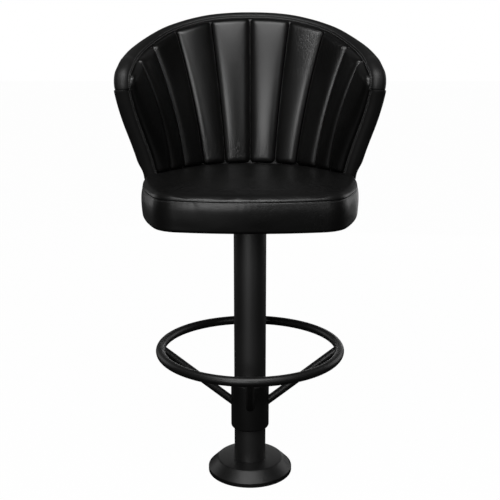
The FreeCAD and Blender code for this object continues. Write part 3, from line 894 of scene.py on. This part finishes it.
def blended(frames):
    """Section frames closer together, on a smooth curve through the given ones."""
    values = np.array([[*b, *o, *a] for b, o, a in frames])
    gaps = np.diff(values[:, :3] + WAY_WEIGHT * values[:, 3:6], axis=0)
    gaps = np.linalg.norm(gaps, axis=1)
    places = np.concatenate([[0], np.cumsum(gaps)])
    slopes = np.gradient(values, places, axis=0)
    made = []
    for at in spread(max(int(places[-1] / RIM_STEP), 8) + 1, 0.0, float(places[-1])):
        i = min(max(int(np.searchsorted(places, at, "right")) - 1, 0), len(places) - 2)
        gap = places[i + 1] - places[i]
        t = (at - places[i]) / gap
        mixed = ((2 * t**3 - 3 * t**2 + 1) * values[i] + (3 * t**2 - 2 * t**3) * values[i + 1]
                 + (t**3 - 2 * t**2 + t) * gap * slopes[i] + (t**3 - t**2) * gap * slopes[i + 1])
        base, out, away = (Vector(mixed[k:k + 3]) for k in (0, 3, 6))
        made.append((base, out.normalized(), away))
    return made


def corner_frames(side):
    """Frames round the rim's front corner. Past the cross seam's turn they keep their way."""
    centre, forward, rise, out = corner_frame(side)
    made = []
    for turn in spread(8, 0.0, pi / 2):
        held = min(turn, CROSS_SEAM_TURN)
        away = (rise * cos(held) + forward * sin(held)) / cos(turn - held)
        base = centre + (rise * cos(turn) + forward * sin(turn)) * RIM_CORNER
        made.append((base, out, away))
    return made


def facing_frames(side):
    """Frames up the back's front edge, turned at their top to meet the cross seam."""
    _, forward, rise, out = corner_frame(side)
    station = LAST * side
    length = back_length(station)
    top = 1 - RIM_CORNER / length
    made = []
    for share in spread(int(length / FACING_STEP), 0.0, top):
        skew = bell((top - share) * length, CROSS_SEAM_REACH) / tan(CROSS_SEAM_TURN)
        made.append((inner_point(station, share), out, forward + rise * skew))
    return made


def rolled_edge(name, frames, flat_z=None, seam_ends=(True, True)):
    """A closed rolled edge over section frames, drawn in a little at the seams at its ends."""
    start, end = (tuple(a.lerp(b, END_STEP_SHARE) for a, b in zip(*pair))
                  for pair in (frames[:2], frames[:-3:-1]))
    frames = [frames[0], start, *frames[1:-1], end, frames[-1]]
    steps = [(b[0] - a[0]).length for a, b in zip(frames, frames[1:])]
    points, along = [], 0.0
    for step, (base, out, away) in zip([0.0] + steps, frames):
        along += step
        centre = base + away * RIM_GAP + out * ROLL
        section = rolled_section(centre, out, away, along)
        for drawn, distance in zip(seam_ends, (along, sum(steps) - along)):
            if drawn:
                tuck = 1 - CROSS_SEAM_TUCK * bell(distance, CROSS_SEAM_WIDTH)
                section = [centre + (p - centre) * tuck for p in section]
        if flat_z is not None:
            section = [drawn_to_seat(Vector((p.x, p.y, max(p.z, flat_z)))) for p in section]
        points += section
    faces = grid_faces(len(frames), ROLL_POINTS, closed=True)
    faces.append(tuple(range(ROLL_POINTS)))
    faces.append(tuple(range(len(points) - ROLL_POINTS, len(points)))[::-1])
    return closed_piece(name, points, faces)


rim_frames = [(rim_point(s), outward(s), upright(s)) for s in range(1 - LAST, LAST)]
rim_frames = blended(corner_frames(-1)[::-1] + rim_frames + corner_frames(1))
rim_roll = rolled_edge("rolled_rim", rim_frames)
facings = []
for side, sign in (("right", 1), ("left", -1)):
    frames = facing_frames(sign)
    piece = rolled_edge("rolled_facing_" + side, frames, SEAM_Z + 0.3, (False, True))
    facings.append((side, frames, piece))


# ---- Seat ----
SEAT_RINGS = 42
SHOULDER_RINGS = 12
SHOULDER_WIDTH = 36.0
SHOULDER_LOSS = 0.75
SHOULDER_LOSS_SPAN = 0.05
FRONT_RISE = 5.5
FRONT_RISE_Y = 40.0
FRONT_RISE_LENGTH = 200.0
CROWN_RISE = 4.0
CROWN_POWER = 2.6
SEAM_INSET = 2.4
CUSHION_LIFT = 0.5
UNDERSIDE_DROP = 3.5
UNDERSIDE_SHARE = 1 - 4.0 / 240.0
FACING_SHARE = min(spread(OUTLINE_POINTS, 0.0, 0.5),
                   key=lambda i: (seat_outline(0.0, SEAM_Z, i) - FACING_CENTRE).length)


def shoulder_width(share):
    """The shoulder's width, which is less beside the facings."""
    aside = min(share, 1 - share) - FACING_SHARE
    return SHOULDER_WIDTH * (1 - SHOULDER_LOSS * bell(aside, SHOULDER_LOSS_SPAN))


def crown_z(y):
    """The height of the cushion's top, which is fuller in front."""
    return CROWN_Z + FRONT_RISE * eased((FRONT_RISE_Y - y) / FRONT_RISE_LENGTH)


def square_ring(k):
    """Grid places round ring k, from the front's middle."""
    if k == 0:
        return [(0, 0)]
    ring = [(x, -k) for x in range(0, k)] + [(k, y) for y in range(-k, k)]
    ring += [(x, k) for x in range(k, -k, -1)] + [(-k, y) for y in range(k, -k, -1)]
    return ring + [(x, -k) for x in range(-k, 0)]


def cushion_top(k, share):
    """A point of the cushion's top on ring k: the crown, or the shoulder down to the seam."""
    inner = SEAT_RINGS - SHOULDER_RINGS
    width = shoulder_width(share)
    if k > inner:
        turn = pi / 2 * (SEAT_RINGS - k) / SHOULDER_RINGS
        inset = SEAM_INSET + (width - SEAM_INSET) * (1 - cos(turn))
        point = seat_outline(inset, SEAM_Z, share)
        low_z = SEAM_Z + CUSHION_LIFT
        point.z = low_z + (crown_z(point.y) - low_z) * sin(turn)
        return point
    plan = k / inner
    point = seat_outline(width, SEAM_Z, share)
    point = Vector((point.x * plan, point.y * plan, 0.0))
    point.z = crown_z(point.y) + CROWN_RISE * (1 - plan**CROWN_POWER)
    return point


def seat_cushion():
    """The crowned top of the seat: one even grid of squares drawn out to the seat's outline."""
    points, held, places = [], [], {}
    for top in (True, False):
        for k in range(SEAT_RINGS + 1):
            ring = square_ring(k)
            for i, place in enumerate(ring):
                point = cushion_top(k, i / len(ring))
                if not top:
                    point = Vector((point.x * UNDERSIDE_SHARE, point.y * UNDERSIDE_SHARE,
                                    SEAM_Z - UNDERSIDE_DROP))
                places[(top, *place)] = len(points)
                cleared = clear_of_back(point)
                if not top or k == SEAT_RINGS or (cleared - point).length > 0.01:
                    held.append(len(points))
                points.append(cleared)
    faces = []
    for x in range(-SEAT_RINGS, SEAT_RINGS):
        for y in range(-SEAT_RINGS, SEAT_RINGS):
            quad = [(x, y), (x + 1, y), (x + 1, y + 1), (x, y + 1)]
            faces.append(tuple(places[(True, *q)] for q in quad))
            faces.append(tuple(places[(False, *q)] for q in quad[::-1]))
    for a, b in looped(square_ring(SEAT_RINGS)):
        faces.append((places[(True, *a)], places[(False, *a)],
                      places[(False, *b)], places[(True, *b)]))
    return closed_piece("seat_cushion", points, faces), held


BAND_ROLL = 9.0
BAND_ROLL_START = radians(30)
BAND_SKIN = 2.5
BAND_POINTS = 380
BAND_FOOT = SEAT_FOOT_Z + 0.1
BAND_TOP = SEAM_Z + 0.1
BAND_CROWDING = 0.25
BAND_BULGE = 1.5
BAND_HEM = 0.6
# each tuck's depth and width
BAND_TUCKS = ((0.9, 1.8), (SEAM_INSET - 0.4, 11.0))
# how far in and up each row past the seam lies
BAND_LIP = ((1.9, 0.1), (3.7, -2.2))
BAND_FREE_ROWS = range(8, 21)
BAND_RIPPLE = 0.55
GATHER = 1.4
GATHER_REACH = 12.0
BAND_WAVE = 0.8
# how many run round the band, how high they are, and their layer of the noise
GATHER_NOISE = (155.0, 30.0, 2.0)
WAVE_NOISE = (30.0, 26.0, 5.0)


def band_profile():
    """The band's inset and height at each row: rolled in at its foot and tucked in at the seam."""
    profile = []
    for turn in spread(8, BAND_ROLL_START, pi / 2):
        z = BAND_FOOT + BAND_ROLL * (cos(BAND_ROLL_START) - cos(turn))
        profile.append((BAND_ROLL * (1 - sin(turn)), z))
    roll_z = profile[-1][1]
    height = BAND_TOP - roll_z
    for share in spread(14)[1:]:
        share = (1 - BAND_CROWDING) * share + BAND_CROWDING * (1 - (1 - share)**2)
        z = roll_z + height * share
        below = BAND_TOP - z
        tuck = sum(depth * bell(below, width) for depth, width in BAND_TUCKS)
        profile.append((tuck - BAND_BULGE * sin(pi * (z - roll_z) / height), z))
    profile += [(SEAM_INSET + inward, BAND_TOP + up) for inward, up in BAND_LIP]
    inner = [(inset + BAND_SKIN, z) for inset, z in profile[:21:3]][::-1]
    inner[-1] = (profile[0][0] + BAND_SKIN, profile[0][1] + BAND_HEM)
    return profile + inner


def band_noise(share, z, count, height, layer):
    return noise.noise(Vector((share * count, z / height, layer)))


def seat_band():
    """The band round the seat's side, a little rippled below the seam."""
    points = []
    profile = band_profile()
    for row, (inset, z) in enumerate(profile):
        for i, point in enumerate(outline_row(BAND_POINTS, inset, z)):
            if row in BAND_FREE_ROWS:
                share = i / BAND_POINTS
                ripple = GATHER * exp(-(BAND_TOP - z) / GATHER_REACH)
                ripple *= band_noise(share, z, *GATHER_NOISE)
                ripple += BAND_WAVE * band_noise(share, z, *WAVE_NOISE)
                way = Vector((point.x, point.y, 0)).normalized()
                point = point - way * (BAND_RIPPLE * ripple)
            points.append(point)
    last = len(points) - BAND_POINTS
    faces = grid_faces(len(profile), BAND_POINTS, closed=True)
    faces += [(last + i, last + j, j, i) for i, j in looped(range(BAND_POINTS))]
    return closed_piece("seat_side_band", points, faces)


cushion, cushion_held = seat_cushion()
band = seat_band()

swollen(channel_pads + [(cushion, cushion_held, *CUSHION_SWELL)])
for index, (pad, *_) in enumerate(channel_pads):
    soft(subdivided(pad), creased_vinyl, 0.8, "back_channel_%02d" % (index + 1))
soft(subdivided(cushion), seat_vinyl, 0.75, "seat_top_cover", "seat_foam")
soft(subdivided(band), seat_vinyl, 0.9, "seat_band")
soft(backing, smooth_vinyl, 0.9)
soft(subdivided(outside), smooth_vinyl, 0.85, "back_outer_cover", "back_outer_pad")
soft(subdivided(rim_roll), rim_vinyl, 0.85, "rim_band_top")
for side, _, piece in facings:
    soft(subdivided(piece), facing_vinyl_painted_lighter, 0.85, "facing_" + side)


# ---- Lining under the seat ----
LINING_INSET = 24.0
LINING_POINTS = 160
LINING_RINGS = 14
LINING_SIDES = (SEAT_FOOT_Z + 0.25, SEAT_FOOT_Z + 0.75)
STAPLE_INSET = 31.0
STAPLE_Z = SEAT_FOOT_Z + 0.1


def dust_lining():
    """The thin lining stretched under the seat."""
    edge = outline_row(LINING_POINTS, LINING_INSET, SEAT_FOOT_Z)
    points = []
    for z in LINING_SIDES:
        points.append((0, 0, z))
        for k in range(1, LINING_RINGS + 1):
            points += [(p.x * k / LINING_RINGS, p.y * k / LINING_RINGS, z) for p in edge]
    half = len(points) // 2
    last = half - LINING_POINTS
    faces = []
    for i, j in looped(range(LINING_POINTS)):
        faces.append((j + 1, i + 1, 0))
        faces.append((half, half + 1 + i, half + 1 + j))
        faces.append((last + i, last + j, last + j + half, last + i + half))
    faces += grid_faces(LINING_RINGS, LINING_POINTS, 1, True)
    faces += grid_faces(LINING_RINGS, LINING_POINTS, half + 1, True, True)
    return closed_piece("dust_lining", points, faces, smooth=False)


lining_piece = dust_lining()
lining_piece.data.materials.append(cloth)
edge_row = outline_row(OUTLINE_POINTS, LINING_INSET, SEAT_FOOT_Z)
cut_area = abs(sum(a.x * b.y - a.y * b.x for a, b in looped(edge_row))) / 2
spans = [max(p[k] for p in edge_row) - min(p[k] for p in edge_row) for k in (0, 1)]
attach(lining_piece, "seat")
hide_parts("dust_cover")
spans[0] * MM
spans[1] * MM
staple_row = [Vector((p.x, p.y, STAPLE_Z))
              for p in outline_row(OUTLINE_POINTS, STAPLE_INSET, SEAT_FOOT_Z)]
grown("lining_staples", [staple_row], staples_tree, "fastener_steel", True, Finish=zinc)


# ---- Stitches and welts ----
STITCH_TURNS = (0.11, 0.37)
FACING_STITCH_Z = SEAM_Z + 14
GROOVE_FOOT_Z = CHANNEL_FOOT_Z + 3
GROOVE_TOP = 0.99
GROOVE_STITCH_PROUD = 1.2
WELT_SINK = 0.6
SEAM_STITCH_INSET = SEAM_INSET - 0.7
SEAM_STITCH_Z = SEAM_Z - 2.8
OUTSIDE_STITCH_INSET = 7.5
OUTSIDE_STITCH_DEPTH = BACK_THICKNESS + 0.45
OUTSIDE_STITCH_END = LAST - 0.12
FINE = {"Finish": dark_thread, "Thickness": 0.00065}


def on_roll(frames, turn, lift=0.3):
    """The line on the rolled edge at a turn from its inner seam."""
    across, above = roll_place(turn, lift)
    return [base + away * (RIM_GAP + above) + out * (ROLL + across) for base, out, away in frames]


stitched = [rim_frames]
stitched += [[f for f in frames if f[0].z > FACING_STITCH_Z] for _, frames, _ in facings]
edge_rows = [on_roll(frames, turn) for turn in STITCH_TURNS for frames in stitched]
grown("rim_stitches", edge_rows, stitches_tree, Finish=grey_thread)
groove_rows, welt_rows = [], []
for station in range(1 - LAST, LAST):
    low = height_share(station, GROOVE_FOOT_Z)
    row = [inner_point(station, share, -GROOVE_STITCH_PROUD)
           for share in spread(60, low, GROOVE_TOP)]
    groove_rows.append(row)
    welt_rows.append([point + outward(station) * WELT_SINK for point in row])
grown("groove_welts", welt_rows, welt_tree, Finish=smooth_vinyl)
grown("groove_stitches", groove_rows, stitches_tree,
      Finish=grey_thread, Pitch=0.0045, Length=0.0032)
grown("seat_seam_stitches", [outline_row(700, SEAM_STITCH_INSET, SEAM_STITCH_Z)], stitches_tree,
      closed=True, **FINE)
outside_row = []
for s in spread(220, -OUTSIDE_STITCH_END, OUTSIDE_STITCH_END):
    point = inner_point(s, 1 - OUTSIDE_STITCH_INSET / back_length(s))
    point = inside_corners(point, OUTSIDE_STITCH_INSET)
    outside_row.append(point + outward(s) * OUTSIDE_STITCH_DEPTH)
grown("outside_back_stitches", [outside_row], stitches_tree, **FINE)


# ---- Steel parts ----
def soft_edges():
    """Welds a node's loose triangles and shades them smoothly up to an angle."""
    rows = Rows("smooth_by_angle", Angle=0.55, Finish=None)
    whole = rows.node("GeometryNodeMergeByDistance",
                      {"Geometry": rows.given("Geometry"), "Distance": 0.00001})
    whole = rows.node("GeometryNodeSetShadeSmooth", {"Geometry": whole, "Shade Smooth": True},
                      domain="FACE")
    angles = {0: rows.node("GeometryNodeInputMeshEdgeAngle"), 1: rows.given("Angle")}
    smooth = rows.node("FunctionNodeCompare", angles, data_type="FLOAT", operation="LESS_THAN")
    return rows.closed(rows.node("GeometryNodeSetShadeSmooth",
                                 {"Geometry": whole, "Shade Smooth": smooth}, domain="EDGE"))


edges_tree = soft_edges()
slots = {row["node"]: row["material_slot"] for row in frame["record"]["subparts"]}
for name, node in frame["nodes"].items():
    if not node.hide_render:
        finish = column_coat if name == "column_tube" else FINISH_OF_SLOT[slots[name]]
        node.data.materials.clear()
        node.data.materials.append(finish)
        given_tree(node, edges_tree, Finish=finish)


# ---- Floor, background, light and camera ----
WHITE = (1.0, 1.0, 1.0, 1.0)
FLOOR_HALF = 14000.0
AMBIENT = 0.02
WALL = 0.12
# each light's name, place, the height that it aims at, its size and its power
SOFTBOXES = (
    ("key_softbox", (-0.7, -2.6, 1.4), 0.75, (1.1, 1.4), 35.0),
    ("fill_softbox", (1.5, -2.4, 1.6), 0.75, (0.7, 1.5), 6.0),
    ("overhead_softbox", (-0.1, -1.1, 2.5), 0.7, (2.0, 0.9), 44.0),
    ("right_rear_softbox", (2.4, 1.7, 1.1), 0.7, (1.2, 1.6), 10.0),
    ("low_rear_softbox", (0.4, 2.7, 0.4), 0.9, (2.2, 0.7), 8.0),
    ("left_rear_softbox", (-2.4, 1.7, 1.1), 0.7, (1.2, 1.6), 7.0))
CAMERA_PLACE = (0.0, -2.0905, 1.0878)
CAMERA_DIP = 15.42
FOCAL_LENGTH = 66.55


def studio_floor():
    """A pale floor that looks white to the camera and casts nothing on the stool."""
    half = FLOOR_HALF
    corners = [(-half, -half, 0), (half, -half, 0), (half, half, 0), (-half, half, 0)]
    floor = mesh_piece("studio_floor", corners, [(0, 1, 2, 3)], smooth=False)
    finish = Finish("pale_floor", Roughness=0.9, Base_Color=(0.8, 0.8, 0.8, 1.0),
                    Specular_IOR_Level=0.1)
    seen = finish.node("ShaderNodeLightPath", output="Is Camera Ray") * 0.985
    glow = finish.node("ShaderNodeEmission", {"Color": WHITE, "Strength": 1.0})
    mixed = finish.node("ShaderNodeMixShader", {
        0: seen, 1: Term(finish, finish.surface.outputs[0]), 2: glow})
    end = finish.tree.nodes["Material Output"]
    finish.tree.links.new(mixed.socket, end.inputs["Surface"])
    floor.data.materials.append(finish.material)
    floor.visible_glossy = floor.visible_diffuse = False


def studio_world():
    """White to the camera, a pale wall far behind in reflections, and a dim studio elsewhere."""
    world = bpy.data.worlds.new("studio")
    world.use_nodes = True
    scene.world = world
    world.node_tree.nodes.clear()
    studio = Nodes(world.node_tree)
    way = studio.node("ShaderNodeTexCoord", output="Generated")
    wall = studio.node("ShaderNodeLightPath", output="Is Glossy Ray") * WALL
    for axis, low, high in (("Y", 0.5, 0.85), ("Z", 0.02, 0.3)):
        along = studio.node("ShaderNodeSeparateXYZ", {0: way}, axis)
        wall = wall * studio.between(along, low, high)
    seen = (studio.node("ShaderNodeLightPath", output="Is Camera Ray") + wall).kept()
    dim, full = (studio.node("ShaderNodeBackground", {"Color": WHITE, "Strength": strength})
                 for strength in (AMBIENT, 1.0))
    mixed = studio.node("ShaderNodeMixShader", {0: seen, 1: dim, 2: full})
    studio.node("ShaderNodeOutputWorld", {0: mixed})


def softbox(name, place, aim_z, size, power):
    lamp = bpy.data.lights.new(name, "AREA")
    lamp.shape = "RECTANGLE"
    lamp.size, lamp.size_y = size
    lamp.energy = power
    piece = linked(name, lamp)
    piece.location = place
    way = Vector((0.0, 0.0, aim_z)) - Vector(place)
    piece.rotation_euler = way.to_track_quat("-Z", "Y").to_euler()


studio_floor()
studio_world()
for row in SOFTBOXES:
    softbox(*row)

lens = bpy.data.cameras.new("photo_camera")
lens.lens = FOCAL_LENGTH
lens.sensor_width = 36.0
lens.shift_y = 0.04
lens.clip_end = 60.0
camera = linked("photo_camera", lens)
camera.location = CAMERA_PLACE
camera.rotation_euler = (radians(90 - CAMERA_DIP), 0.0, 0.0)
scene.camera = camera
scene.view_settings.view_transform = "Standard"
